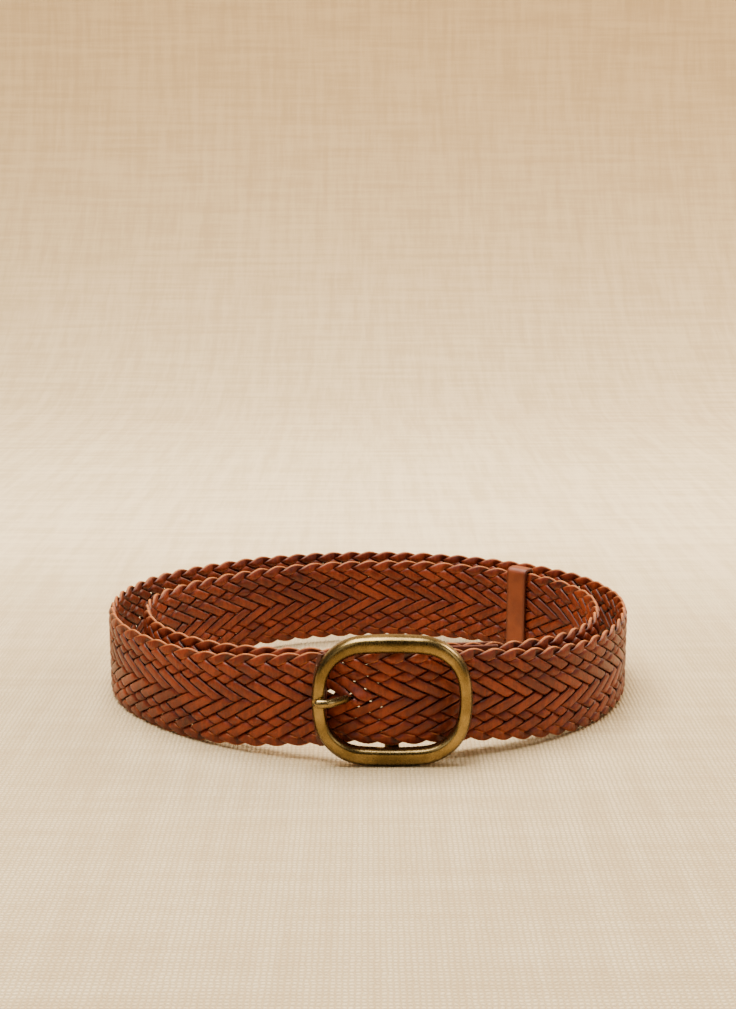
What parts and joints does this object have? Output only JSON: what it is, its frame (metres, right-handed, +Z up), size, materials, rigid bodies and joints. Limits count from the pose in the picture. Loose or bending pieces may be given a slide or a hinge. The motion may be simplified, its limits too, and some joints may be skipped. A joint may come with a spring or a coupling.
{
  "type": "leather belt",
  "caption": "Braided leather belt with a rounded oval centre-bar buckle, prong, folded tab and sliding keeper, coiled into turns and stood on its edge.",
  "frame": {"origin": "on the floor plane, in the middle of the coil's bounding box", "axes": "+X to the right of the buckle's front, +Y away from the viewer of the buckle, +Z up along the strap's width"},
  "size_m": [0.212, 0.1831, 0.0483],
  "materials": {
    "braided_leather": "smooth vegetable-tanned cognac lace leather",
    "tab_leather": "smooth dark brown leather",
    "keeper_leather": "smooth tan leather with burnished edges",
    "thread": "waxed brown thread",
    "buckle_brass": "brushed antique brass",
    "bar_brass": "drawn brass rod",
    "prong_brass": "brushed antique brass",
    "staple_steel": "flat wire"
  },
  "bodies": {
    "strap": {"braided_strap": "braided_leather", "buckle_tab": "tab_leather", "tab_stitching": "thread", "end_cap": "tab_leather", "end_cap_stitching": "thread"},
    "buckle": {"buckle_frame": "buckle_brass", "centre_bar": "bar_brass"},
    "prong": {"prong": "prong_brass"},
    "keeper": {"keeper_band": "keeper_leather", "keeper_staples": "staple_steel"}
  },
  "joints": [
    {"name": "buckle_swing", "type": "hinge", "parent": "strap", "child": "buckle", "pos_m": [0.0085, -0.07895, 0.02415], "axis": [0, 0, 1], "range_deg": [0, 3]},
    {"name": "prong_swing", "type": "hinge", "parent": "buckle", "child": "prong", "pos_m": [0.0085, -0.07895, 0.02415], "axis": [0, 0, 1], "range_deg": [0, 8]},
    {"name": "keeper_slide", "type": "hinge", "parent": "strap", "child": "keeper", "pos_m": [0.0065, -0.03709, 0.0195], "axis": [0, 0, 1], "range_deg": [-3, 33]}
  ]
}
